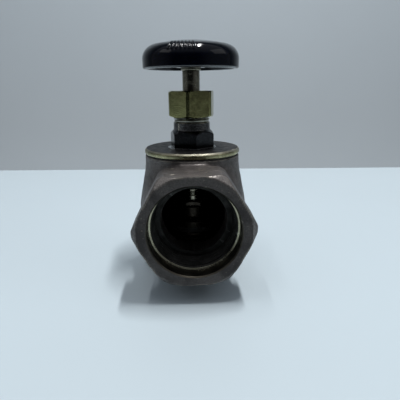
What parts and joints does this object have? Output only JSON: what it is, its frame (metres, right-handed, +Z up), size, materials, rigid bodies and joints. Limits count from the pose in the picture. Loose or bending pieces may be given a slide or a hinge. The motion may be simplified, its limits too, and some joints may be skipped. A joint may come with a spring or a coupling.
{
  "type": "needle valve",
  "caption": "Angle-pattern bronze needle valve for pipe: two hexagonal threaded ports at right angles, screwed bonnet, packing nut, rising stem and black round handwheel",
  "frame": {"origin": "centre of the bottom of the bounding box, on the plane of the bottom port's face", "axes": "+Z up along the stem, -Y out of the side port, X across the body; metres in the packed file, millimetres in the part source"},
  "size_m": [0.0576, 0.0758, 0.1181],
  "materials": {
    "cast_bronze": "dark oxidised sand-cast bronze, matte with worn edges",
    "machined_brass": "olive-yellow machined brass, lightly tarnished",
    "stem_brass": "turned brass bar, satin",
    "seat_bronze": "turned bronze, satin",
    "black_phenolic": "moulded black phenolic, glossy",
    "graphite": "pressed graphite yarn, matte",
    "seal_composition": "dark valve-disc composition, matte",
    "gasket_fibre": "compressed fibre sheet, matte",
    "zinc_steel": "zinc-plated steel, satin"
  },
  "bodies": {
    "body_and_bonnet": {"valve_body": "cast_bronze", "seat_ring": "seat_bronze", "bonnet_gasket": "gasket_fibre", "bonnet": "cast_bronze", "packing_washer": "seat_bronze", "packing_ring_1": "graphite", "packing_ring_2": "graphite", "packing_ring_3": "graphite", "packing_ring_4": "graphite"},
    "needle_assembly": {"disc_holder": "seat_bronze", "swivel_nut": "seat_bronze", "seal_disc": "seal_composition", "needle": "seat_bronze"},
    "stem_and_wheel": {"stem": "stem_brass", "handwheel": "black_phenolic", "hub_insert": "seat_bronze", "spring_washer": "zinc_steel", "handwheel_screw": "zinc_steel"},
    "gland_follower": {"gland": "seat_bronze"},
    "packing_nut_body": {"packing_nut": "machined_brass"}
  },
  "joints": [
    {"name": "needle_lift", "type": "slide", "parent": "body_and_bonnet", "child": "needle_assembly", "axis": [0, 0, 1], "range_m": [0, 0.00953]},
    {"name": "handwheel_turn", "type": "hinge", "parent": "needle_assembly", "child": "stem_and_wheel", "pos_m": [0, 0.0091, 0.0354], "axis": [0, 0, 1], "range_deg": [0, 1080]},
    {"name": "gland_lift", "type": "slide", "parent": "body_and_bonnet", "child": "gland_follower", "axis": [0, 0, 1], "range_m": [0, 0.00198]},
    {"name": "packing_nut_turn", "type": "hinge", "parent": "gland_follower", "child": "packing_nut_body", "pos_m": [0, 0.0091, 0.0884], "axis": [0, 0, 1], "range_deg": [0, 450]}
  ],
  "couplings": [
    {"joint": "handwheel_turn", "follows": "needle_lift", "rad_per_m": 1978.9},
    {"joint": "packing_nut_turn", "follows": "gland_lift", "rad_per_m": 3957.9}
  ]
}
